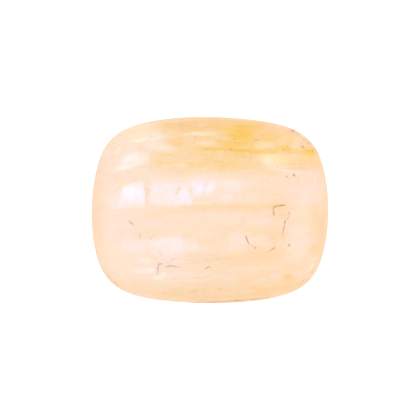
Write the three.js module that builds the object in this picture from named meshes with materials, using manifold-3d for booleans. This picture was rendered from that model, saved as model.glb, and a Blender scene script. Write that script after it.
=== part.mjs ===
// A cushion cabochon of pale peach sapphire: a polished dome over a narrow girdle, a ground bevel and a flat back.
// Millimetres, +Z up. The origin is the middle of the back, and the stone's length runs along X.
import * as THREE from "three";
import { mergeVertices } from "three/addons/utils/BufferGeometryUtils.js";
import Module from "manifold-3d";

// Driving dimensions
const LENGTH = 14.0; // along X, at the girdle
const WIDTH = 11.02; // along Y, at the girdle
const HEIGHT = 6.2; // from the flat back to the top of the dome
const BEVEL_HEIGHT = 0.8; // from the back to the lower edge of the girdle
const BEVEL_SHARE = 0.12; // the share of the plan radius that the bevel takes off
const GIRDLE_BAND = 0.4; // the upright band between the bevel and the dome

// Plan at the girdle: an ellipse, which bows the sides, mixed with a squared one, which fills the corners
const CORNER_POWER = 4.56; // how square the squared ellipse is
const CORNER_PART = 0.617; // its part in the mix, which fades to none at the top of the dome
// Slow swellings of the plan radius, from grinding by hand: how many, how large, and where the first one is
const SWELLINGS = [
  { lobes: 3, share: 0.0034, degrees: -14.2 },
  { lobes: 4, share: 0.0026, degrees: 22.5 },
];

// Dome: a superellipse with full shoulders and a gently crowned top
const SHOULDER_POWER = 2.4;
const CROWN_POWER = 2.2;
const DOME_FOOT = BEVEL_HEIGHT + GIRDLE_BAND;

// Open pits where the rough crystal's skin was not quite ground away: place on the dome, and width
const PITS = [
  { degrees: 43.7, share: 0.985, width: 0.24 },
  { degrees: 36.7, share: 0.966, width: 0.18 },
  { degrees: 34.3, share: 0.977, width: 0.18 },
  { degrees: 34.4, share: 0.928, width: 0.22 },
  { degrees: 32.4, share: 0.99, width: 0.16 },
  { degrees: 22.7, share: 0.765, width: 0.24 },
  { degrees: 23.7, share: 0.709, width: 0.16 },
];

// Facets of the turned blank and of a pit
const ROUND_STEPS = 96;
const DOME_STEPS = 26;
const PIT_STEPS = 8;

const wasm = await Module();
wasm.setup();

// Plan radius of the stone in a direction, for a given part of the squared ellipse.
function planRadius(angle, cornerPart) {
  const alongX = Math.abs(Math.cos(angle)) / (LENGTH / 2);
  const alongY = Math.abs(Math.sin(angle)) / (WIDTH / 2);
  const ellipse = (power) => (alongX ** power + alongY ** power) ** (-1 / power);
  const swelling = SWELLINGS.reduce((sum, { lobes, share, degrees }) => {
    return sum + share * Math.cos(lobes * (angle - THREE.MathUtils.degToRad(degrees)));
  }, 1);
  return swelling * THREE.MathUtils.lerp(ellipse(2), ellipse(CORNER_POWER), cornerPart);
}

// Point of the plan at a share of the radius. The sections round off to ellipses towards the middle.
function planPoint(share, angle) {
  const radius = share * planRadius(angle, CORNER_PART * share ** 2);
  return new THREE.Vector2(radius * Math.cos(angle), radius * Math.sin(angle));
}

// Height of the dome at a share of the plan radius.
function domeHeight(share) {
  return DOME_FOOT + (HEIGHT - DOME_FOOT) * (1 - share ** SHOULDER_POWER) ** (1 / CROWN_POWER);
}

// Half section of the stone, as share of the plan radius and height: back, bevel, girdle band and dome.
function halfSection() {
  const points = [
    new THREE.Vector2(0, 0),
    new THREE.Vector2(1 - BEVEL_SHARE, 0),
    new THREE.Vector2(1, BEVEL_HEIGHT),
    new THREE.Vector2(1, DOME_FOOT),
  ];
  for (let step = 1; step < DOME_STEPS; step++) {
    const share = Math.cos(((step / DOME_STEPS) * Math.PI) / 2) ** (2 / SHOULDER_POWER);
    points.push(new THREE.Vector2(share, domeHeight(share)));
  }
  points.push(new THREE.Vector2(0, HEIGHT));
  return points;
}

// The stone before its pits: the half section turned round Z with a radius of 1, then drawn out to the plan.
function cushionGeometry() {
  const geometry = new THREE.LatheGeometry(halfSection(), ROUND_STEPS).rotateX(Math.PI / 2);
  const places = geometry.getAttribute("position");
  for (let i = 0; i < places.count; i++) {
    const x = places.getX(i);
    const y = places.getY(i);
    const { x: planX, y: planY } = planPoint(Math.hypot(x, y), Math.atan2(y, x));
    places.setXY(i, planX, planY);
  }
  return geometry;
}

// A ball centred on the dome, which leaves a round pit when it is cut away.
function pitGeometry({ degrees, share, width }) {
  const { x, y } = planPoint(share, THREE.MathUtils.degToRad(degrees));
  return new THREE.SphereGeometry(width / 2, PIT_STEPS, PIT_STEPS).translate(x, y, domeHeight(share));
}

// A closed geometry as a solid that can be cut.
function solidOf(geometry) {
  const bare = new THREE.BufferGeometry();
  bare.setAttribute("position", geometry.getAttribute("position"));
  bare.setIndex(geometry.getIndex());
  const merged = mergeVertices(bare);
  return new wasm.Manifold(
    new wasm.Mesh({
      numProp: 3,
      vertProperties: merged.getAttribute("position").array,
      triVerts: new Uint32Array(merged.getIndex().array),
    }),
  );
}

// A solid's surface as a geometry, with the plan's box centred on the origin.
function centredGeometry(solid) {
  const { vertProperties, triVerts } = solid.getMesh();
  const geometry = new THREE.BufferGeometry();
  geometry.setAttribute("position", new THREE.BufferAttribute(vertProperties, 3));
  geometry.setIndex(new THREE.BufferAttribute(triVerts, 1));
  geometry.computeBoundingBox();
  const middle = geometry.boundingBox.getCenter(new THREE.Vector3());
  return geometry.translate(-middle.x, -middle.y, 0);
}

// The stone is one crystal, so it is one piece.
function sapphire() {
  const cushion = solidOf(cushionGeometry());
  const pitted = PITS.reduce((stone, pit) => stone.subtract(solidOf(pitGeometry(pit))), cushion);
  const polish = new THREE.MeshStandardMaterial({ color: 0xfee0c3, roughness: 0.12, metalness: 0 });
  const mesh = new THREE.Mesh(centredGeometry(pitted), polish);
  mesh.name = "sapphire";
  return mesh;
}

const cabochon = new THREE.Group();
cabochon.add(sapphire());

export default cabochon;
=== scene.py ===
import bpy
import numpy as np
from mathutils import Matrix, Vector


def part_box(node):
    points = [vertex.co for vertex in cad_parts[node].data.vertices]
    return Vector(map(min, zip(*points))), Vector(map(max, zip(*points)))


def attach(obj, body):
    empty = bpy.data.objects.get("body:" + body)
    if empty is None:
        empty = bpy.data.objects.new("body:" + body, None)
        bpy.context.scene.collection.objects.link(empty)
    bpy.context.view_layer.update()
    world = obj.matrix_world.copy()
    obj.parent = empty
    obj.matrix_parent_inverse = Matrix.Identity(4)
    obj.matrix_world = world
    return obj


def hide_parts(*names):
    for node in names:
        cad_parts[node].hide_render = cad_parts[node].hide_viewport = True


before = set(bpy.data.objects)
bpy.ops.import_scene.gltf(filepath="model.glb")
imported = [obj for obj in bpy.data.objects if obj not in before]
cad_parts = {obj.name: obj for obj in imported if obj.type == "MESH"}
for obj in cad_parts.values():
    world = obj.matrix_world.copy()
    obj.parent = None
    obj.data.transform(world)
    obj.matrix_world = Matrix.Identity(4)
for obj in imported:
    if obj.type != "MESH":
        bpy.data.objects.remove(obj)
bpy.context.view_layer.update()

# The stone
# One crystal of milky corundum, sawn from the rough and ground by hand to a cushion cabochon.
# Its dome is polished. The narrow girdle, the bevel under it and the flat back are only ground.
MM = 0.001
low, high = (np.array(corner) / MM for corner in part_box("sapphire"))
HALF_LENGTH, HALF_WIDTH, _ = (high - low) / 2
HEIGHT = high[2]
BEVEL_HEIGHT = 0.8
BEVEL_SHARE = 0.12  # the share of the plan radius that the bevel takes off
GIRDLE_BAND = 0.4  # the upright band between the bevel and the dome
DOME_FOOT = BEVEL_HEIGHT + GIRDLE_BAND
EDGE_ROUNDING = 0.2  # how much of the faces on both sides of a ground edge its softening takes
CORNER_POWER = 4.56  # how square the squared ellipse of the plan is
CORNER_PART = 0.617  # its part in the plan, which fades to none at the top of the dome
SHOULDER_POWER = 2.4  # how full the dome's shoulders are
CROWN_POWER = 2.2  # how gently its top is crowned
SWELLINGS = ((3, 0.0034, -14.2), (4, 0.0026, 22.5))  # lobes, share of the radius, first lobe in degrees

# Open pits where the rough skin was not quite ground away: degrees round the stone, share of radius, width
PITS = (
    (43.7, 0.985, 0.24),
    (36.7, 0.966, 0.18),
    (34.3, 0.977, 0.18),
    (34.4, 0.928, 0.22),
    (32.4, 0.990, 0.16),
    (22.7, 0.765, 0.24),
    (23.7, 0.709, 0.16),
)
PIT_DEPTH = 0.45  # share of a pit's width
DARKENED_DEPTH = 0.05  # a pit is darkened in full from this depth on

# Slow waves that polishing by hand leaves: their height, then turns in radians per millimetre and phases
POLISH_WAVE = 0.008
WAVE_ALONG_X = (1.9, 0.4)
WAVE_ALONG_Y = (2.3, 1.1)
SLANTED_WAVE = (1.3, -2.1, 2.0)
SLANTED_SHARE = 0.7

# Steps of the mesh, which is finest at the pitted corner
ROUND_STEPS = 560
DOME_RINGS = 140
BACK_RINGS = 8
EDGE_RINGS = 7
POLE_SHARE = 0.1  # share of the radius of the innermost ring of the back
PITTED_CORNER = np.radians(35)
STEP_CLOSING = 0.5  # how much closer the steps are there


def plan_radius(angle, corner_part):
    """An ellipse mixed with a squared ellipse, times one plus slow cosine swellings."""
    along_x = np.abs(np.cos(angle)) / HALF_LENGTH
    along_y = np.abs(np.sin(angle)) / HALF_WIDTH
    round_part = (along_x**2 + along_y**2) ** -0.5
    square_part = (along_x**CORNER_POWER + along_y**CORNER_POWER) ** (-1 / CORNER_POWER)
    swelling = 1 + sum(share * np.cos(lobes * (angle - np.radians(turn))) for lobes, share, turn in SWELLINGS)
    return swelling * (round_part + corner_part * (square_part - round_part))


def dome_height(share):
    """The foot plus the rise times (1 - share to the shoulder power) to one over the crown power."""
    return DOME_FOOT + (HEIGHT - DOME_FOOT) * (1 - share**SHOULDER_POWER) ** (1 / CROWN_POWER)


def stone_point(share, angle, height):
    """Plan radius times share towards the angle, at a height. Sections are rounder near the middle."""
    radius = share * plan_radius(angle, CORNER_PART * share**2)
    return np.stack([radius * np.cos(angle), radius * np.sin(angle), height + 0 * radius], axis=-1)


# The middle of the plan's box at the girdle, which the finished stone is centred on
outline = stone_point(1.0, np.linspace(0, 2 * np.pi, ROUND_STEPS), 0.0)
PLAN_MIDDLE = (outline.max(axis=0) + outline.min(axis=0)) / 2


def rounded_corner(before, corner, after):
    """A quadratic Bezier curve that leaves one leg and joins the next, softening the corner between them."""
    start = corner + (before - corner) * EDGE_ROUNDING
    end = corner + (after - corner) * EDGE_ROUNDING
    t = np.linspace(0, 1, EDGE_RINGS)[:, None]
    return (1 - t) ** 2 * start + 2 * t * (1 - t) * corner + t**2 * end


def half_section():
    """Rings of the stone as (share, height): back, softened edge, bevel, softened edge, girdle and dome."""
    back = np.array([1 - 2 * BEVEL_SHARE, 0.0])
    back_edge = np.array([1 - BEVEL_SHARE, 0.0])
    bevel_top = np.array([1.0, BEVEL_HEIGHT])
    girdle_top = np.array([1.0, DOME_FOOT])
    flat = np.linspace([POLE_SHARE, 0.0], back, BACK_RINGS)
    turn = np.linspace(0, np.pi / 2, DOME_RINGS, endpoint=False)
    share = np.cos(turn) ** (2 / SHOULDER_POWER)
    dome = np.stack([share, dome_height(share)], axis=-1)
    return np.concatenate([
        flat,
        rounded_corner(back, back_edge, bevel_top),
        rounded_corner(back_edge, bevel_top, girdle_top),
        dome,
    ])


def polish_waves(points):
    """A sine along X times a sine along Y, plus a slanted sine, fading to none at the foot of the dome."""
    x, y, z = points.T
    waves = np.sin(WAVE_ALONG_X[0] * x + WAVE_ALONG_X[1]) * np.sin(WAVE_ALONG_Y[0] * y + WAVE_ALONG_Y[1])
    waves += SLANTED_SHARE * np.sin(SLANTED_WAVE[0] * x + SLANTED_WAVE[1] * y + SLANTED_WAVE[2])
    return POLISH_WAVE * waves * np.clip((z - DOME_FOOT) / (HEIGHT - DOME_FOOT), 0, 1)


def pit_bowls(points):
    """For each pit a bowl: its depth times (1 - distance squared) squared, and none past its rim."""
    depth = np.zeros(len(points))
    for degrees, share, width in PITS:
        centre = stone_point(share, np.radians(degrees), dome_height(share))
        near = np.linalg.norm(points - centre, axis=-1) / (width / 2)
        depth = np.maximum(depth, np.clip(1 - near**2, 0, 1) ** 2 * width * PIT_DEPTH)
    return depth


def closed_rings(rings, round_steps):
    """Quads between neighbouring rings of a closed tube, and a fan of triangles at each of its two poles."""
    ring, step = np.meshgrid(np.arange(rings - 1), np.arange(round_steps), indexing="ij")
    after = (step + 1) % round_steps
    quads = np.stack([ring, ring, ring + 1, ring + 1], axis=-1) * round_steps
    quads += np.stack([step, after, after, step], axis=-1)
    step = np.arange(round_steps)
    after = (step + 1) % round_steps
    last = (rings - 1) * round_steps
    back_pole = rings * round_steps
    top_pole = back_pole + 1
    back_fan = np.stack([after, step, np.full_like(step, back_pole)], axis=-1)
    top_fan = np.stack([last + step, last + after, np.full_like(step, top_pole)], axis=-1)
    return quads.reshape(-1, 4).tolist() + back_fan.tolist() + top_fan.tolist()


def make_stone():
    """The half section carried round the plan, raised by waves, sunk by pits and centred on the origin."""
    turn = np.linspace(0, 2 * np.pi, ROUND_STEPS, endpoint=False)
    angle = PITTED_CORNER + turn - STEP_CLOSING * np.sin(turn)
    section = half_section()
    points = stone_point(section[:, :1], angle[None, :], section[:, 1:])
    points = np.concatenate([points.reshape(-1, 3), [[0, 0, 0], [0, 0, HEIGHT]]])
    points[:, 2] += polish_waves(points)
    depth = pit_bowls(points)
    outward = points - [0, 0, DOME_FOOT]
    outward /= np.linalg.norm(outward, axis=-1, keepdims=True)
    points -= outward * depth[:, None] + PLAN_MIDDLE
    mesh = bpy.data.meshes.new("sapphire_cabochon")
    mesh.from_pydata(points * MM, [], closed_rings(len(section), ROUND_STEPS))
    mesh.shade_smooth()
    pitted = mesh.attributes.new("pitted", "FLOAT", "POINT")
    pitted.data.foreach_set("value", np.clip(depth / DARKENED_DEPTH, 0, 1))
    stone = bpy.data.objects.new("sapphire_cabochon", mesh)
    bpy.context.scene.collection.objects.link(stone)
    return stone


def linear(red, green, blue):
    """A screen colour of 0 to 255 as linear light: the sRGB curve undone."""
    screen = np.array([red, green, blue]) / 255
    light = np.where(screen > 0.04045, ((screen + 0.055) / 1.055) ** 2.4, screen / 12.92)
    return (*light, 1.0)


# Colours of the crystal and of what has grown or lodged in it, with painted rim light and painted reflections
DEEP_PEACH = linear(245, 213, 176)
PALE_PEACH = linear(245, 222, 202)
APRICOT_STAIN = linear(245, 202, 131)
GOLD_STAIN = linear(245, 198, 66)
BLUSH_ZONE = linear(246, 221, 208)
CREAM_ZONE = linear(246, 229, 196)
WEDGE_CREAM = linear(247, 230, 178)
PAINTED_RIM_ROSE = linear(245, 206, 192)
MILK_AND_REFLECTION = linear(250, 236, 243)
LILAC_MILK_AND_REFLECTION = linear(249, 232, 237)
CREAM_AND_REFLECTION = linear(250, 240, 230)
DUST_BROWN = linear(150, 122, 86)
RUST = linear(232, 150, 42)
FISSURE_BROWN = linear(178, 110, 34)
SPECK_BROWN = linear(200, 116, 24)

# Noises: waves in a millimetre, octaves, and how much each axis is drawn together first, if it is
NOISE_LEVELS = (0.3, 0.7)  # nearly all of a noise lies between these levels
STREAKS = (1.0, 4.0, (0.35, 2.2, 0.8))
MOTTLE = (6.0, 4.0, (0.8, 1.2, 1.0))
GRAIN = (1.0, 4.0, (0.9, 4.0, 0.9))
CURDLE = (2.0, 5.0)
DUST_GRAIN = (5.0, 3.0, (0.8, 1.2, 1.0))
BREAKS = (5.0, 2.0)
CRUMBS = (4.0, 5.0)
POLISH_CLOUDS = (1.3, 5.0)
SCRATCHES = (9.0, 4.0, (1.0, 1.0, 2.5))

# How zones are pushed out of shape: waves in a millimetre, reach along X, Y and Z
SLOW_DRIFT = (0.7, (0.45, 0.25, 0.50))
QUICK_DRIFT = (3.5, (0.22, 0.14, 0.20))
WRIGGLE = (4.0, (0.08, 0.08, 0.08))
SLOW_TEAR = (2.2, (0.30, 0.24, 0.20))
QUICK_TEAR = (8.0, (0.14, 0.14, 0.10))

# Growth bands: paleness at the left and the right end, and how far streaks and mottle swing it
PALENESS = (0.85, 0.25)
STREAK_SWING = (-0.45, 0.45)
MOTTLE_SWING = (-0.30, 0.30)

# Stained zones, in millimetres on the plan. Each cloud is an ellipse that runs through the whole thickness:
# x, y, half-length, half-width, turn in degrees, softness of its edge, strength.
APRICOT = (
    (1.50, 5.40, 2.20, 0.40, 0, 0.60, 0.60),
    (4.20, 4.70, 1.80, 0.60, -25, 0.60, 0.46),
    (5.70, 2.80, 1.20, 0.42, 0, 0.60, 0.55),
    (2.40, -5.00, 4.60, 0.85, 0, 0.50, 0.44),
    (2.60, -3.70, 1.90, 0.50, 0, 0.60, 0.16),
    (-3.00, -5.15, 3.50, 0.65, -12, 0.60, 0.22),
    (1.20, 0.08, 4.50, 0.22, 2, 0.60, 0.26),
    (-6.70, 0.00, 0.60, 3.60, 0, 0.60, 0.20),
    (6.55, -1.20, 0.45, 1.20, 10, 0.60, 0.34),
    (6.20, -2.40, 0.40, 0.35, 0, 0.60, 0.30),
    (4.62, -4.00, 0.32, 0.30, 0, 0.70, 0.60),
    (4.90, -4.30, 0.70, 0.40, 25, 0.60, 0.15),
    (3.95, -0.80, 0.50, 1.60, 0, 0.60, 0.16),
    (1.60, -2.85, 2.80, 0.40, 0, 0.60, 0.28),
)
AMBER = (
    (-1.00, 5.15, 3.20, 0.62, 0, 0.40, 0.46),
    (-0.90, 5.05, 1.60, 0.36, 0, 0.60, 0.16),
    (-1.75, 4.75, 1.60, 0.36, 0, 0.60, 0.26),
)
GOLD = (
    (1.85, 4.75, 1.05, 0.42, 12, 0.60, 0.52),
    (1.80, 4.08, 0.70, 0.38, 0, 0.60, 0.28),
    (1.15, 3.78, 0.75, 0.28, 0, 0.60, 0.26),
    (1.45, 3.50, 0.55, 0.13, -4, 0.60, 0.36),
    (1.60, 4.15, 2.30, 1.00, 0, 0.50, 0.36),
    (3.80, 3.95, 1.90, 0.60, 0, 0.50, 0.32),
    (4.00, 3.50, 2.00, 0.17, 0, 0.60, 0.38),
    (4.90, 3.05, 1.40, 0.28, 0, 0.60, 0.26),
    (6.00, 3.44, 0.62, 0.26, 0, 0.60, 0.62),
    (4.60, 3.90, 0.32, 0.36, 0, 0.70, 0.26),
    (-1.20, 4.35, 1.00, 0.22, 0, 0.60, 0.20),
    (-0.10, 3.54, 0.90, 0.12, 0, 0.60, 0.30),
    (0.20, 3.85, 0.55, 0.30, 0, 0.60, 0.28),
    (0.80, 4.90, 0.60, 0.25, 0, 0.60, 0.25),
    (-1.95, 4.00, 0.55, 0.30, 0, 0.60, 0.40),
    (-1.20, 3.75, 1.00, 0.30, 0, 0.60, 0.30),
    (-1.45, 3.00, 1.90, 0.50, 0, 0.45, 0.32),
    (-3.10, 2.95, 0.50, 0.35, 0, 0.50, 0.14),
    (1.60, 2.98, 1.60, 0.46, 0, 0.60, 0.28),
    (1.10, 2.50, 0.80, 0.25, 0, 0.70, 0.16),
    (0.00, 2.45, 3.80, 0.42, 0, 0.60, 0.20),
)
BLUSH = (
    (-4.50, 4.45, 1.30, 0.65, 20, 0.60, 0.30),
    (5.25, 4.00, 0.40, 0.45, 0, 0.60, 0.36),
    (5.60, 1.20, 1.40, 1.10, 0, 0.50, 0.55),
    (4.30, 2.35, 1.10, 0.26, -10, 0.60, 0.50),
    (5.30, -1.55, 0.85, 0.60, 0, 0.60, 0.40),
    (3.80, -3.90, 0.35, 0.20, 0, 0.60, 0.45),
    (3.00, -4.10, 0.35, 0.20, 0, 0.60, 0.35),
    (1.10, -3.80, 0.45, 0.40, 0, 0.60, 0.35),
    (-1.00, -0.60, 5.50, 0.60, 0, 0.50, 0.30),
    (3.00, -0.62, 0.60, 0.25, 0, 0.60, 0.40),
    (-3.50, -3.35, 2.20, 0.80, 0, 0.40, 0.60),
    (-5.40, -1.20, 1.00, 1.40, 0, 0.60, 0.30),
    (-6.20, 1.40, 0.80, 1.60, 0, 0.70, 0.28),
)
CREAM = (
    (-4.50, 4.45, 1.30, 0.65, 20, 0.60, 0.45),
    (-3.68, 4.85, 0.10, 0.45, 0, 0.60, 0.35),
    (-2.65, 3.58, 0.45, 0.14, 0, 0.60, 0.45),
    (-3.50, 3.85, 0.40, 0.20, 0, 0.60, 0.35),
    (3.25, 3.76, 0.50, 0.22, 0, 0.60, 0.60),
    (4.40, 4.10, 0.40, 0.22, 20, 0.80, 0.35),
    (4.95, 3.72, 0.22, 0.20, 0, 0.80, 0.28),
    (-1.72, 2.55, 0.35, 0.12, 0, 0.60, 0.20),
    (-5.10, -3.00, 1.10, 0.60, -15, 0.70, 0.30),
    (-5.60, -1.90, 0.60, 0.60, 0, 0.80, 0.20),
    (-4.00, 4.70, 0.90, 0.50, 0, 0.70, 0.35),
)
# Lines: a point on it, its slope in degrees, its softness. What lies to the left of its direction is kept.
SECTOR_EDGE = (-3.55, 3.00, -90.0, 0.10)  # growth sectors meet here, and gold and amber stop at it
# A pale wedge: its ceiling and its slanting left side, as lines, and its clouds
WEDGE_TOP = (4.00, 3.28, 180.0, 0.03)
WEDGE_SIDE = (2.95, 2.90, -48.0, 0.11)
WEDGE = (
    (3.30, 2.98, 0.24, 0.24, 0, 0.90, 0.45),
    (3.80, 3.12, 0.24, 0.18, 0, 0.90, 0.30),
    (3.70, 2.92, 1.10, 0.42, 0, 0.70, 0.40),
    (4.80, 2.90, 1.20, 0.35, 0, 0.60, 0.16),
)
GRAIN_RANGE = (0.65, 1.35)  # how far the grain weakens or strengthens a stain
# Painted rose light at the dome's foot, for light that came a long way through the stone: its heights, and
# its strength at each of them
PAINTED_RIM_HEIGHTS = (DOME_FOOT + 0.3, DOME_FOOT + 1.1)
PAINTED_RIM_STRENGTHS = (0.6, 0.0)

# Milky haze in the middle band, partly painted reflection, as clouds, the growth line under it, and the gaps
# where cracks part it
MILK_HAZE = (
    (-2.45, 0.85, 1.70, 0.70, 0, 0.40, 0.22),
    (0.40, 1.32, 1.60, 0.50, 0, 0.50, 0.22),
    (-1.00, 1.30, 4.00, 0.80, 0, 0.60, 0.14),
)
HAZE_FLOOR = (-3.00, 0.17, 2.0, 0.05)
HAZE_GAPS = (
    (-3.61, 0.92, 0.85, 0.13, 87, 0.40, 0.64),
    (-1.83, 1.15, 0.24, 0.09, 58, 0.50, 0.68),
    (-1.20, 1.14, 0.44, 0.04, -55, 0.50, 0.35),
    (-0.34, 1.40, 0.42, 0.03, 90, 0.50, 0.30),
    (0.10, 0.66, 0.80, 0.12, 2, 0.60, 0.50),
)
# The brightest haze, at the left end of the band, with a painted window highlight in it: its ceiling and its
# cracked right side, and its clouds
HIGHLIGHT_TOP = (-4.90, 1.44, 204.0, 0.12)
HIGHLIGHT_SIDE = (-3.78, 0.90, 90.0, 0.06)
HAZE_AND_HIGHLIGHT = (
    (-4.50, 1.12, 0.70, 0.50, 20, 0.80, 0.44),
    (-4.75, 0.70, 0.90, 0.62, 12, 0.70, 0.34),
    (-3.95, 0.70, 0.38, 0.62, 0, 0.60, 0.38),
    (-4.85, 0.28, 0.95, 0.26, 4, 0.60, 0.26),
    (-5.55, 0.40, 0.50, 0.28, 0, 0.90, 0.11),
)
# Healed cracks that look like milk glass, partly painted reflection: strength, softness of the sides, corners
# in anticlockwise order
MILK_AND_REFLECTION_PANES = (
    (0.50, 0.16, ((-4.92, 2.84), (-4.26, 2.92), (-4.26, 3.29), (-4.79, 3.22))),
    (0.16, 0.22, ((-5.55, 2.32), (-4.90, 2.34), (-4.15, 2.60), (-3.66, 2.95), (-3.66, 3.29), (-4.75, 3.30))),
    (0.32, 0.10, ((-3.50, 0.40), (-2.75, 0.22), (-1.05, 0.32), (-0.95, 0.75), (-1.25, 1.56), (-3.50, 1.64))),
    (0.22, 0.07, ((-1.68, 0.33), (-1.08, 0.34), (-1.20, 0.90), (-1.50, 1.40))),
    (0.56, 0.08, ((-0.88, 0.82), (-0.66, 0.78), (-0.38, 1.10), (-0.38, 1.84), (-0.82, 1.80), (-1.16, 1.55))),
    (0.34, 0.16, ((-0.30, 0.95), (0.41, 1.05), (0.41, 1.78), (-0.32, 1.80))),
    (0.20, 0.16, ((0.93, 1.06), (1.75, 1.10), (1.81, 1.70), (0.98, 1.74))),
    (0.28, 0.12, ((0.68, 0.50), (1.24, 0.56), (1.34, 0.90), (0.64, 0.88))),
)
# Lilac haze and panes, partly painted reflection, most of them in the lower band
LOW_HAZE = (
    (-4.00, -2.05, 1.50, 0.60, 0, 0.60, 0.22),
    (-2.25, -2.05, 1.10, 0.70, 0, 0.45, 0.15),
    (-3.40, -0.75, 0.60, 0.22, 0, 0.60, 0.20),
    (1.58, -1.93, 0.70, 0.60, 0, 0.60, 0.12),
    (-5.85, -1.20, 0.50, 0.70, 0, 0.70, 0.12),
    (-4.70, 2.80, 1.30, 0.75, 25, 0.80, 0.15),
    (6.06, -2.88, 0.25, 0.12, 0, 0.70, 0.30),
    (5.95, 1.25, 0.30, 0.14, 60, 0.70, 0.22),
)
LILAC_REFLECTION_PANES = (
    (0.42, 0.12, ((-2.75, -2.68), (-1.61, -2.70), (-1.60, -1.64), (-2.74, -1.60))),
    (0.32, 0.16, ((-3.52, -2.56), (-2.75, -2.68), (-2.74, -1.74), (-3.60, -1.80))),
    (0.36, 0.16, ((-1.55, -2.33), (-1.17, -2.42), (-0.50, -2.33), (-0.72, -1.86), (-1.55, -1.74))),
    (0.18, 0.14, ((1.10, -2.40), (1.92, -2.44), (2.02, -1.93), (1.75, -1.34), (1.06, -1.40))),
    (0.26, 0.20, ((-5.28, -2.52), (-3.70, -2.56), (-3.70, -1.84), (-5.15, -1.64))),
)
# Creamier panes near the rim, partly painted reflection, and short bright threads of that cream, as clouds
CREAM_REFLECTION_PANES = (
    (0.40, 0.16, ((-4.88, 2.76), (-4.22, 3.08), (-4.40, 3.40), (-5.36, 2.90))),
    (0.50, 0.14, ((-5.10, 2.30), (-4.22, 2.55), (-4.18, 2.92), (-4.81, 2.75), (-5.60, 2.36))),
    (0.34, 0.18, ((-4.39, 2.63), (-3.68, 2.63), (-3.63, 3.34), (-4.34, 3.34))),
)
CREAM_THREADS = (
    (-4.43, 4.05, 0.26, 0.08, -4, 0.60, 0.55),
    (-3.98, 4.10, 0.34, 0.11, 20, 0.60, 0.75),
    (-3.20, 4.16, 0.34, 0.10, 8, 0.60, 0.45),
    (-3.08, 4.42, 0.34, 0.13, 0, 0.70, 0.40),
    (-2.70, 3.62, 0.60, 0.20, -8, 0.80, 0.26),
    (-3.30, 3.75, 0.45, 0.22, 0, 0.80, 0.18),
    (-0.38, 4.46, 0.60, 0.12, 0, 0.70, 0.45),
    (-0.18, 3.89, 0.50, 0.14, 0, 0.70, 0.40),
    (-1.10, 4.46, 0.40, 0.09, 5, 0.70, 0.30),
    (-5.31, 3.63, 0.26, 0.06, 62, 0.60, 0.45),
    (-5.48, 3.39, 0.10, 0.06, 35, 0.60, 0.35),
    (-6.00, 3.24, 0.16, 0.06, 70, 0.60, 0.35),
    (-5.45, 1.43, 0.30, 0.07, 31, 0.60, 0.35),
    (-3.77, -2.95, 0.40, 0.14, -5, 0.70, 0.45),
    (-4.00, -3.55, 0.60, 0.15, 0, 0.70, 0.45),
    (-3.42, -3.51, 0.24, 0.16, 0, 0.70, 0.50),
    (-3.10, -3.97, 0.28, 0.09, -12, 0.70, 0.50),
    (-2.74, -3.82, 0.26, 0.12, 36, 0.70, 0.45),
    (-0.41, 0.42, 0.45, 0.05, -1, 0.60, 0.45),
    (-2.40, 2.55, 0.30, 0.16, 0, 0.80, 0.12),
    (-1.75, 2.62, 0.40, 0.12, 0, 0.80, 0.35),
    (3.35, 2.85, 0.22, 0.17, 20, 0.90, 0.40),
    (4.07, 2.36, 0.75, 0.09, -11, 0.60, 0.22),
    (6.17, 1.76, 0.25, 0.08, 85, 0.60, 0.25),
    (5.95, -3.36, 0.24, 0.07, 57, 0.60, 0.40),
)
CURDLE_RANGE = (0.65, 1.3)  # how far the curdling weakens or strengthens the milk
MILK_HEIGHTS = (0.6, 2.0)  # milk and cream come in between these heights

# Zones where fine dust lies in the growth bands, and single blots of it, as clouds
DUST = (
    (-0.30, 2.85, 3.40, 0.85, 0, 0.40, 0.08),
    (-1.20, 5.05, 2.20, 0.40, 0, 0.50, 0.09),
    (1.40, 3.70, 1.30, 0.45, 0, 0.50, 0.05),
    (-1.20, -2.75, 2.20, 0.40, 0, 0.50, 0.10),
    (0.10, -4.75, 2.40, 0.55, 0, 0.50, 0.10),
    (5.55, 3.95, 0.40, 0.40, 0, 0.60, 0.10),
    (0.00, 0.00, 7.00, 5.50, 0, 0.30, 0.02),
)
DUST_BLOTS = (
    (1.92, -0.70, 0.12, 0.17, 10, 0.90, 0.07),
    (1.80, -0.46, 0.09, 0.12, 0, 0.90, 0.04),
    (-1.46, -1.52, 0.22, 0.09, -8, 0.90, 0.07),
    (-1.40, -1.28, 0.10, 0.06, 0, 0.90, 0.08),
    (3.62, -1.64, 0.26, 0.24, 0, 0.80, 0.05),
    (3.74, -1.95, 0.12, 0.14, 0, 0.90, 0.05),
    (4.32, -0.35, 0.14, 0.12, 0, 0.90, 0.07),
    (0.41, -2.86, 0.24, 0.12, -12, 0.90, 0.06),
    (-0.10, -3.04, 0.30, 0.09, 4, 0.90, 0.06),
    (-0.95, -3.02, 0.24, 0.08, 10, 0.90, 0.07),
    (-0.88, -4.78, 0.18, 0.13, 40, 0.90, 0.07),
    (-0.35, -4.68, 0.22, 0.12, 70, 0.90, 0.05),
    (-2.05, -4.66, 0.34, 0.09, 6, 0.90, 0.05),
    (0.42, 2.90, 0.15, 0.12, 60, 0.90, 0.03),
    (1.52, 2.98, 0.11, 0.22, 0, 0.90, 0.04),
    (2.05, 3.08, 0.11, 0.12, 0, 0.90, 0.04),
    (-1.72, 5.08, 0.16, 0.26, 10, 0.90, 0.07),
    (-1.28, 4.92, 0.40, 0.08, -6, 0.90, 0.07),
    (-0.75, 4.92, 0.36, 0.09, -38, 0.90, 0.07),
    (-0.18, 4.92, 0.34, 0.09, 22, 0.90, 0.06),
)
DUST_LEVELS = (0.50, 0.78)  # levels of its noise where dust begins and where it is full

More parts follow.
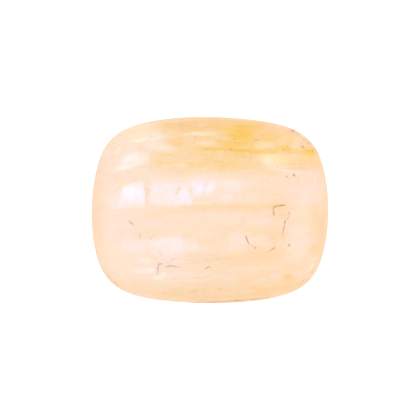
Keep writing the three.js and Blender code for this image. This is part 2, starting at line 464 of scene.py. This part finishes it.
# Hairline fissures: strength, then points from end to end on the plan
FISSURES = (
    (0.88, ((4.35, 0.29), (4.03, 0.26), (3.71, 0.18))),
    (0.80, ((3.71, 0.18), (3.67, 0.00), (3.74, -0.35))),
    (0.45, ((4.62, -0.38), (4.41, -0.56), (4.37, -0.64))),
    (0.95, ((4.38, -0.64), (4.35, -0.82), (4.27, -1.23))),
    (0.30, ((4.27, -1.23), (4.23, -1.55))),
    (0.95, ((2.10, -1.52), (2.16, -1.75), (2.24, -1.96))),
    (0.25, ((2.33, -2.01), (2.51, -2.10), (2.64, -2.20))),
    (0.80, ((3.77, -2.18), (3.57, -2.33))),
    (0.15, ((3.57, -2.33), (3.33, -2.45))),
    (0.75, ((-4.74, -0.64), (-4.47, -0.85))),
    (0.45, ((-4.11, -1.43), (-4.07, -1.64))),
    (0.40, ((-3.33, -1.51), (-3.49, -1.69))),
    (0.75, ((-2.82, -3.13), (-3.01, -3.19), (-3.07, -3.66))),
    (0.75, ((-2.54, -3.32), (-2.28, -3.24), (-1.87, -3.34))),
    (0.75, ((-0.29, -3.43), (-0.06, -3.29), (0.02, -3.34))),
    (0.20, ((-3.01, -2.45), (-2.78, -2.66))),
    (0.20, ((-2.34, -2.95), (-1.90, -2.80))),
    (0.14, ((-2.23, -4.06), (-1.99, -4.03), (-1.46, -3.97), (-0.70, -3.94), (0.00, -3.89))),
    (0.26, ((-0.95, -3.96), (-0.55, -3.93))),
    (0.22, ((-2.23, -4.06), (-2.02, -4.03))),
    (0.12, ((-1.82, -4.28), (-1.52, -4.16))),
    (0.14, ((-3.77, 1.55), (-3.76, 1.10), (-3.74, 0.55))),
    (0.15, ((-3.64, 1.25), (-3.56, 0.88))),
    (0.50, ((2.96, 4.38), (3.20, 4.39))),
    (0.45, ((2.61, 4.08), (2.83, 4.08))),
    (0.25, ((-0.35, 3.52), (-0.15, 3.55))),
    (0.12, ((-6.42, 1.71), (-6.48, 1.30))),
    (0.18, ((5.10, 1.97), (5.21, 1.61))),
)
# Rust along growth planes, and dark brown lines along the foot of the dome, in the same way
RUST_LINES = (
    (0.18, ((-0.12, 3.57), (0.88, 3.54), (1.75, 3.48), (2.28, 3.46))),
    (0.50, ((1.93, 3.48), (2.28, 3.46), (2.43, 3.33))),
    (0.50, ((1.05, 3.53), (1.45, 3.50))),
    (0.26, ((2.46, 3.33), (3.57, 3.31))),
    (0.36, ((3.57, 3.31), (3.98, 3.31))),
    (0.26, ((3.98, 3.31), (5.77, 3.32))),
    (0.20, ((3.70, 2.68), (5.80, 2.66))),
    (0.18, ((4.20, 2.46), (6.10, 2.42))),
)
DARK_FOOT_LINES = (
    (0.70, ((-1.20, -5.46), (-0.10, -5.44))),
    (0.95, ((-0.30, -5.45), (0.85, -5.41))),
    (0.90, ((0.90, -5.40), (2.00, -5.33))),
    (0.95, ((1.75, -5.35), (3.10, -5.23))),
    (0.45, ((4.79, 4.78), (5.00, 4.61))),
    (0.25, ((5.98, 3.82), (6.23, 3.58))),
    (0.50, ((6.23, 3.58), (6.43, 3.32))),
    (0.45, ((-6.34, 3.48), (-6.24, 3.63))),
    (0.45, ((-6.66, 2.77), (-6.59, 2.97))),
    (0.35, ((-3.40, 5.32), (-2.10, 5.46))),
    (0.35, ((-6.09, -3.79), (-5.44, -4.46))),
    (0.22, ((6.09, -3.64), (5.44, -4.29))),
)
LINE_DEPTH = 0.25  # how far a line reaches above and below the dome
FISSURE_WIDTH = 0.078
RUST_WIDTH = 0.09
FOOT_LINE_WIDTH = 0.6
LINE_SOFTNESS = 0.5
FOOT_LINE_SOFTNESS = 0.9
BREAK_LEVELS = (0.35, 0.58)  # levels of its noise where a line is faintest and where it is full
BREAK_RANGE = (0.4, 1.0)
CRUMB_LEVELS = (0.38, 0.62)  # levels of its noise where the foot lines begin and where they are full

# Tiny dark crystals and dark pinpricks, some of them at the pitted corner: x, y, width, strength
SPECKS = (
    (1.46, 4.13, 0.14, 0.40),
    (1.70, 3.82, 0.10, 0.20),
    (1.61, 3.96, 0.09, 0.16),
    (1.67, 4.65, 0.10, 0.18),
    (2.21, 4.79, 0.10, 0.16),
    (1.23, 3.51, 0.16, 0.16),
    (1.11, 3.63, 0.12, 0.16),
    (4.28, 3.51, 0.14, 0.50),
    (-0.86, 4.25, 0.14, 0.26),
    (-0.15, 3.54, 0.14, 0.14),
    (-3.05, 4.38, 0.10, 0.16),
    (-4.04, 3.60, 0.12, 0.22),
    (-5.74, 3.57, 0.11, 0.14),
    (-3.77, 1.23, 0.14, 0.14),
    (-2.30, 0.42, 0.10, 0.10),
    (-1.25, 1.33, 0.10, 0.08),
    (-1.72, 1.28, 0.10, 0.08),
    (-1.92, 0.99, 0.12, 0.12),
    (5.15, 1.68, 0.10, 0.16),
    (3.95, 2.50, 0.12, 0.18),
    (1.98, 2.37, 0.10, 0.14),
    (4.60, -0.18, 0.13, 0.45),
    (4.62, -2.05, 0.16, 0.65),
    (2.66, -2.22, 0.13, 0.50),
    (1.20, -3.36, 0.12, 0.18),
    (0.57, -4.61, 0.14, 0.22),
    (-0.35, 0.00, 0.14, 0.10),
    (4.91, 4.67, 0.26, 0.80),
    (5.54, 4.15, 0.22, 0.42),
    (5.79, 3.93, 0.20, 0.50),
    (5.36, 3.91, 0.14, 0.30),
    (5.47, 3.71, 0.22, 0.42),
    (5.80, 3.47, 0.18, 0.35),
    (6.03, 3.42, 0.20, 0.45),
    (6.29, 3.43, 0.24, 0.50),
)
PIT_DARKENING = 0.45  # strength of the same dark brown in the pits

# Polish: heights where the ground girdle gives way to it, its roughness, and what girdle and marks add
GROUND_HEIGHTS = (DOME_FOOT - 0.05, DOME_FOOT + 0.15)
POLISH_ROUGHNESS = (0.03, 0.08)
GROUND_ROUGHNESS = 0.42
MARK_ROUGHNESS = 0.5
SCRATCH_STRENGTH = 0.25
SCRATCH_DEPTH = 0.04
CORUNDUM_IOR = 1.77
# Light spread inside the milky crystal: its part, its reach, and the shares of that in red, green and blue
SCATTER_PART = 0.8
SCATTER_REACH = 1.5
SCATTER_SHARES = (1.0, 0.6, 0.35)


def add_node(tree, kind, sockets, output=0, **settings):
    """A shader node: settings are its own choices, and each socket takes a value or another node's output."""
    made = tree.nodes.new("ShaderNode" + kind)
    for name, value in settings.items():
        setattr(made, name, value)
    for name, value in sockets.items():
        if isinstance(value, bpy.types.NodeSocket):
            tree.links.new(value, made.inputs[name])
        else:
            made.inputs[name].default_value = value
    return made.outputs[output]


def combine(tree, operation, first, second):
    """Two masks added or multiplied, or the larger of them, as the operation says."""
    return add_node(tree, "Math", {0: first, 1: second}, operation=operation)


def without(tree, mask):
    """One minus a mask, and never below none."""
    return add_node(tree, "Math", {0: 1.0, 1: mask}, operation="SUBTRACT", use_clamp=True)


def spread(tree, value, span, levels=NOISE_LEVELS):
    """A value drawn out in a straight line from two levels to the ends of a span, and held at those ends."""
    return add_node(tree, "MapRange", {
        "Value": value, "From Min": levels[0], "From Max": levels[1], "To Min": span[0], "To Max": span[1],
    })


def tint(tree, colour, pigment, mask):
    """The colour mixed towards a pigment by a mask."""
    return add_node(
        tree, "Mix", {0: mask, 6: colour, 7: pigment}, output=2, data_type="RGBA", clamp_factor=True,
    )


def along_axis(tree, place, axis):
    """One coordinate of a place."""
    return add_node(tree, "SeparateXYZ", {"Vector": place}, output=axis)


def noise(tree, place, scale, detail=2.0, drawn=(1.0, 1.0, 1.0), output="Fac"):
    """Fractal noise on the place in millimetres, with each axis drawn together first."""
    drawn = add_node(tree, "VectorMath", {0: place, 1: drawn}, operation="MULTIPLY")
    return add_node(tree, "TexNoise", {"Vector": drawn, "Scale": scale, "Detail": detail}, output=output)


def drifted(tree, place, scale, reach):
    """The place plus the reach along each axis times a coloured noise less one half."""
    push = noise(tree, place, scale, output="Color")
    push = add_node(tree, "VectorMath", {0: push, 1: (0.5, 0.5, 0.5)}, operation="SUBTRACT")
    return add_node(tree, "VectorMath", {0: push, 1: reach, 2: place}, operation="MULTIPLY_ADD")


def soft_ellipsoid(tree, place, middle, half_sizes, rotation, softness, strength):
    """A ball drawn out to the half-sizes along turned axes: full inside, none outside, eased at the edge."""
    reach = 1 + softness
    sizes = [size * reach for size in half_sizes]
    local = add_node(tree, "Mapping", {
        "Vector": place, "Location": middle, "Rotation": rotation, "Scale": sizes,
    }, vector_type="TEXTURE")
    inside = add_node(tree, "TexGradient", {"Vector": local}, output="Fac", gradient_type="SPHERICAL")
    return add_node(tree, "MapRange", {
        "Value": inside, "From Min": 0.0, "From Max": 2 * softness / reach, "To Min": 0.0, "To Max": strength,
    }, interpolation_type="SMOOTHSTEP", clamp=False)


def clouds(tree, place, zone):
    """The sum of a zone's soft ellipses, each so tall an ellipsoid that it runs through the stone."""
    endless = 1e6
    total = 0.0
    for x, y, half_length, half_width, turn, softness, strength in zone:
        half_sizes = (half_length, half_width, endless)
        rotation = (0, 0, np.radians(turn))
        cloud = soft_ellipsoid(tree, place, (x, y, 0), half_sizes, rotation, softness, strength)
        total = combine(tree, "ADD", total, cloud)
    return total


def left_of(tree, place, line):
    """A mask that eases from none to full across a slanted line, and is full on the left of its direction."""
    x, y, slope, softness = line
    slope = np.radians(slope)
    start = (x + softness * np.sin(slope), y - softness * np.cos(slope), 0)
    local = add_node(tree, "Mapping", {
        "Vector": place,
        "Location": start,
        "Rotation": (0, 0, slope + np.pi / 2),
        "Scale": (2 * softness, 1, 1),
    }, vector_type="TEXTURE")
    return add_node(tree, "TexGradient", {"Vector": local}, output="Fac", gradient_type="EASING")


def bounded(tree, place, mask, lines):
    """A mask times the mask of each line, so that only what is left of every line stays."""
    for line in lines:
        mask = combine(tree, "MULTIPLY", mask, left_of(tree, place, line))
    return mask


def panes(tree, place, shapes):
    """The sum of straight-sided patches, each a strength bounded by the lines from corner to corner."""
    total = 0.0
    for strength, softness, corners in shapes:
        sides = []
        for start, end in zip(corners, corners[1:] + corners[:1]):
            slope = np.degrees(np.arctan2(end[1] - start[1], end[0] - start[0]))
            sides.append((*start, slope, softness))
        total = combine(tree, "ADD", total, bounded(tree, place, strength, sides))
    return total


def on_dome(x, y, rounds=12):
    """The dome's point over a point of the plan. Its share of the radius comes by repeated division."""
    ahead, beside, _ = np.array([x, y, 0.0]) + PLAN_MIDDLE
    share = 0.5
    for _ in range(rounds):
        share = np.hypot(ahead, beside) / plan_radius(np.arctan2(beside, ahead), CORNER_PART * share**2)
    return Vector((x, y, dome_height(min(share, 1.0))))


def hairlines(tree, place, lines, width, softness=LINE_SOFTNESS):
    """Thin lenses that lie on the dome from point to point along each line, the strongest counting."""
    further_out = 1.01
    total = 0.0
    for strength, points in lines:
        for start, end in zip(points, points[1:]):
            along = on_dome(*end) - on_dome(*start)
            middle = on_dome(*(np.add(start, end) / 2))
            downhill = on_dome(*(middle.xy * further_out)) - middle
            across = along.cross(downhill).cross(along).normalized()
            axes = Matrix((along.normalized(), across, along.normalized().cross(across))).transposed()
            half_sizes = (along.length / 2 + width / 2, width / 2, LINE_DEPTH)
            lens = soft_ellipsoid(tree, place, middle, half_sizes, axes.to_euler(), softness, strength)
            total = combine(tree, "MAXIMUM", total, lens)
    return total


def specks(tree, place, dots):
    """Small balls at the height of the dome, the strongest counting."""
    total = 0.0
    for x, y, width, strength in dots:
        half_sizes = (width / 2,) * 3
        ball = soft_ellipsoid(tree, place, on_dome(x, y), half_sizes, (0, 0, 0), LINE_SOFTNESS, strength)
        total = combine(tree, "MAXIMUM", total, ball)
    return total


def growth_bands(tree, place, warped):
    """Deep to pale peach: a slope from left to right plus long streaks plus a fine mottle."""
    streaks = noise(tree, warped, *STREAKS)
    paleness = spread(tree, along_axis(tree, warped, "X"), PALENESS, (-HALF_LENGTH, HALF_LENGTH))
    paleness = combine(tree, "ADD", paleness, spread(tree, streaks, STREAK_SWING))
    mottle = noise(tree, place, *MOTTLE)
    paleness = combine(tree, "ADD", paleness, spread(tree, mottle, MOTTLE_SWING))
    return tint(tree, DEEP_PEACH, PALE_PEACH, paleness)


def stained(tree, colour, place, warped, wriggled):
    """The colour tinted by each zone's clouds times a grain drawn out along the bands, then by painted rose
    rim light.
    """
    grain = spread(tree, noise(tree, warped, *GRAIN), GRAIN_RANGE)
    sector_grain = combine(tree, "MULTIPLY", grain, left_of(tree, wriggled, SECTOR_EDGE))
    for zone, pigment, share in (
        (APRICOT, APRICOT_STAIN, grain),
        (AMBER, APRICOT_STAIN, sector_grain),
        (GOLD, GOLD_STAIN, sector_grain),
        (BLUSH, BLUSH_ZONE, grain),
        (CREAM, CREAM_ZONE, grain),
    ):
        cover = combine(tree, "MULTIPLY", clouds(tree, warped, zone), share)
        colour = tint(tree, colour, pigment, cover)
    wedge = bounded(tree, wriggled, clouds(tree, warped, WEDGE), (WEDGE_TOP, WEDGE_SIDE))
    colour = tint(tree, colour, WEDGE_CREAM, combine(tree, "MULTIPLY", wedge, grain))
    # Painted light: the foot of the dome is tinted rose for light that has come a long way through the stone.
    rim = spread(tree, along_axis(tree, place, "Z"), PAINTED_RIM_STRENGTHS, PAINTED_RIM_HEIGHTS)
    return tint(tree, colour, PAINTED_RIM_ROSE, rim)


def milky(tree, colour, place, warped, wriggled, torn):
    """The colour tinted lilac, milk and cream, each of them clouds plus panes, fading out towards the back.

    A noise curdles the lilac and the milk, lines bound the haze, and gaps part the milk. Each is partly
    painted reflection.
    """
    # Painted highlight: the brightest haze carries part of the window's highlight, painted in.
    haze_and_highlight = bounded(tree, wriggled, clouds(tree, warped, HAZE_AND_HIGHLIGHT), (HIGHLIGHT_TOP, HIGHLIGHT_SIDE))
    haze = combine(tree, "ADD", haze_and_highlight, clouds(tree, warped, MILK_HAZE))
    haze = bounded(tree, wriggled, haze, (HAZE_FLOOR,))
    # Painted reflection: the milk panes, like the lilac and cream ones, are partly reflections painted in.
    milk = combine(tree, "ADD", haze, panes(tree, torn, MILK_AND_REFLECTION_PANES))
    milk = combine(tree, "MULTIPLY", milk, without(tree, clouds(tree, wriggled, HAZE_GAPS)))
    lilac = combine(tree, "ADD", clouds(tree, warped, LOW_HAZE), panes(tree, torn, LILAC_REFLECTION_PANES))
    risen = spread(tree, along_axis(tree, place, "Z"), (0.0, 1.0), MILK_HEIGHTS)
    curdle = spread(tree, noise(tree, warped, *CURDLE), CURDLE_RANGE)
    curdle = combine(tree, "MULTIPLY", curdle, risen)
    colour = tint(tree, colour, LILAC_MILK_AND_REFLECTION, combine(tree, "MULTIPLY", lilac, curdle))
    colour = tint(tree, colour, MILK_AND_REFLECTION, combine(tree, "MULTIPLY", milk, curdle))
    cream = combine(tree, "ADD", panes(tree, torn, CREAM_REFLECTION_PANES), clouds(tree, wriggled, CREAM_THREADS))
    return tint(tree, colour, CREAM_AND_REFLECTION, combine(tree, "MULTIPLY", cream, risen))


def marked(tree, colour, place, warped, wriggled):
    """The colour tinted by dust, then rust, then fissures and dark foot lines, then specks and pits.

    The mask that comes with it is the largest of fissures, foot lines, specks and pits.
    """
    dust = spread(tree, noise(tree, place, *DUST_GRAIN), (0.0, 1.0), DUST_LEVELS)
    dust = combine(tree, "MULTIPLY", dust, clouds(tree, warped, DUST))
    dust = combine(tree, "ADD", dust, clouds(tree, wriggled, DUST_BLOTS))
    colour = tint(tree, colour, DUST_BROWN, dust)
    breaks = spread(tree, noise(tree, place, *BREAKS), BREAK_RANGE, BREAK_LEVELS)
    rust = combine(tree, "MULTIPLY", hairlines(tree, wriggled, RUST_LINES, RUST_WIDTH), breaks)
    colour = tint(tree, colour, RUST, rust)
    cracks = combine(tree, "MULTIPLY", hairlines(tree, wriggled, FISSURES, FISSURE_WIDTH), breaks)
    crumbs = spread(tree, noise(tree, place, *CRUMBS), (0.0, 1.0), CRUMB_LEVELS)
    # Dark brown lines along the foot of the dome, broken up by the crumb noise.
    foot_lines = hairlines(tree, wriggled, DARK_FOOT_LINES, FOOT_LINE_WIDTH, FOOT_LINE_SOFTNESS)
    cracks = combine(tree, "MAXIMUM", cracks, combine(tree, "MULTIPLY", foot_lines, crumbs))
    colour = tint(tree, colour, FISSURE_BROWN, cracks)
    pitted = add_node(tree, "Attribute", {}, output="Fac", attribute_name="pitted")
    pricks = specks(tree, place, SPECKS)
    # The pits are darkened with the same brown, the deeper the more.
    pricks = combine(tree, "MAXIMUM", pricks, combine(tree, "MULTIPLY", pitted, PIT_DARKENING))
    colour = tint(tree, colour, SPECK_BROWN, pricks)
    return colour, combine(tree, "MAXIMUM", cracks, pricks)


def polished(tree, shader, place, wriggled, marks):
    """Roughness is a faint noise plus the larger of what the ground girdle and the marks add.

    The bump is a noise of scratches times the mask of the ground girdle.
    """
    ground = spread(tree, along_axis(tree, wriggled, "Z"), (1.0, 0.0), GROUND_HEIGHTS)
    polish = spread(tree, noise(tree, place, *POLISH_CLOUDS), POLISH_ROUGHNESS)
    rough_girdle = combine(tree, "MULTIPLY", ground, GROUND_ROUGHNESS)
    rough_marks = combine(tree, "MULTIPLY", marks, MARK_ROUGHNESS)
    dull = combine(tree, "MAXIMUM", rough_girdle, rough_marks)
    tree.links.new(combine(tree, "ADD", polish, dull), shader.inputs["Roughness"])
    relief = combine(tree, "MULTIPLY", noise(tree, place, *SCRATCHES), ground)
    bump = add_node(tree, "Bump", {
        "Height": relief, "Strength": SCRATCH_STRENGTH, "Distance": SCRATCH_DEPTH * MM,
    }, output="Normal")
    tree.links.new(bump, shader.inputs["Normal"])


def sapphire_finish():
    """Growth bands, stains, painted rim light, milk with painted reflections and marks in layers, under a
    polish, with light spread inside.
    """
    material = bpy.data.materials.new("peach_sapphire")
    material.use_nodes = True
    tree = material.node_tree
    shader = tree.nodes["Principled BSDF"]
    metres = add_node(tree, "TexCoord", {}, output="Object")
    place = add_node(tree, "VectorMath", {0: metres, "Scale": 1 / MM}, operation="SCALE")
    warped = drifted(tree, drifted(tree, place, *SLOW_DRIFT), *QUICK_DRIFT)
    wriggled = drifted(tree, place, *WRIGGLE)
    torn = drifted(tree, drifted(tree, wriggled, *SLOW_TEAR), *QUICK_TEAR)
    colour = growth_bands(tree, place, warped)
    colour = stained(tree, colour, place, warped, wriggled)
    colour = milky(tree, colour, place, warped, wriggled, torn)
    colour, marks = marked(tree, colour, place, warped, wriggled)
    tree.links.new(colour, shader.inputs["Base Color"])
    polished(tree, shader, place, wriggled, marks)
    shader.inputs["IOR"].default_value = CORUNDUM_IOR
    shader.inputs["Subsurface Weight"].default_value = SCATTER_PART
    shader.inputs["Subsurface Radius"].default_value = SCATTER_SHARES
    shader.inputs["Subsurface Scale"].default_value = SCATTER_REACH * MM
    return material


stone = make_stone()
stone.data.materials.append(sapphire_finish())
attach(stone, "root")
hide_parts("sapphire")

# The light table
# A sheet of white acrylic lit from below, which the stone lies on.
# It is only a stage, so it is plain and even, and sheds no light of its own on the stone.
TABLE_SIDE = 1.2
TABLE_GAP = 0.01 * MM
TABLE_WHITE = (0.86, 0.86, 0.86, 1)
TABLE_ROUGHNESS = 0.6
TABLE_GLOW = 0.5
bpy.ops.mesh.primitive_plane_add(size=TABLE_SIDE, location=(0, 0, -TABLE_GAP))
table = bpy.context.object
table.name = "light_table"
table.visible_diffuse = False
table.visible_glossy = False
table.visible_transmission = False
table.visible_shadow = False
acrylic = bpy.data.materials.new("white_acrylic")
acrylic.use_nodes = True
surface = acrylic.node_tree.nodes["Principled BSDF"]
surface.inputs["Base Color"].default_value = TABLE_WHITE
surface.inputs["Roughness"].default_value = TABLE_ROUGHNESS
surface.inputs["Emission Color"].default_value = (1, 1, 1, 1)
surface.inputs["Emission Strength"].default_value = TABLE_GLOW
table.data.materials.append(acrylic)

# The light tent
# White cloth round and over the stone, brightest overhead, with warm light off the table from below.
# A window lamp, a front lamp and two white cards stand by it, and show as soft shapes in the polish.
TENT_TOP = 1.10
TENT_SIDE = 0.99
TABLE_BOUNCE = (1.04, 0.79, 0.60, 1)
LAMP_REACH = 0.25
LAMP_TINT = (0.78, 0.90, 1.0)  # daylight, a little blue
# Lamps: name, direction round the stone and over the horizon, width and height as seen from it, brightness
LAMPS = (
    ("window_lamp", 165, 25, 11, 18, 1.00),
    ("front_lamp", -122, 50, 24, 16, 0.28),
    ("low_card", 145, 9, 26, 8, 0.65),
    ("right_card", -14, 12, 44, 26, 0.45),
)
world = bpy.data.worlds.new("light_tent")
world.use_nodes = True
cloth = world.node_tree
direction = add_node(cloth, "TexCoord", {}, output="Generated")
rise = along_axis(cloth, direction, "Z")
upper = spread(cloth, rise, (TENT_SIDE, TENT_TOP), (0.0, 1.0))
upper = add_node(cloth, "CombineColor", {"Red": upper, "Green": upper, "Blue": upper})
over_horizon = spread(cloth, rise, (0.0, 1.0), (-1.0, 0.0))
cloth.links.new(tint(cloth, TABLE_BOUNCE, upper, over_horizon), cloth.nodes["Background"].inputs["Color"])
bpy.context.scene.world = world
bpy.context.scene.view_settings.view_transform = "Standard"


def add_softbox(name, turn, rise, width, height, brightness):
    """A lamp that faces the stone. Its sides are twice the reach times the tangent of half their angles."""
    turn, rise = np.radians((turn, rise))
    towards = Vector((np.cos(rise) * np.cos(turn), np.cos(rise) * np.sin(turn), np.sin(rise)))
    lamp = bpy.data.lights.new(name, "AREA")
    lamp.shape = "RECTANGLE"
    lamp.size, lamp.size_y = 2 * LAMP_REACH * np.tan(np.radians((width, height)) / 2)
    lamp.energy = brightness * np.pi * lamp.size * lamp.size_y
    lamp.color = LAMP_TINT
    box = bpy.data.objects.new(name, lamp)
    box.location = towards * LAMP_REACH
    box.rotation_euler = towards.to_track_quat("Z", "Y").to_euler()
    box.visible_camera = False
    bpy.context.scene.collection.objects.link(box)


for lamp in LAMPS:
    add_softbox(*lamp)

# The camera
# It looks straight down on the stone, with the stone's length across the picture.
CAMERA_REACH = 0.3
FRAME_WIDTH = 24.82 * MM
SENSOR_WIDTH = 36
NEAREST = 0.01
lens = bpy.data.cameras.new("camera")
lens.sensor_width = SENSOR_WIDTH
lens.lens = SENSOR_WIDTH * CAMERA_REACH / FRAME_WIDTH
lens.clip_start = NEAREST
camera = bpy.data.objects.new("camera", lens)
camera.location = (0, 0, DOME_FOOT * MM + CAMERA_REACH)
bpy.context.scene.collection.objects.link(camera)
bpy.context.scene.camera = camera
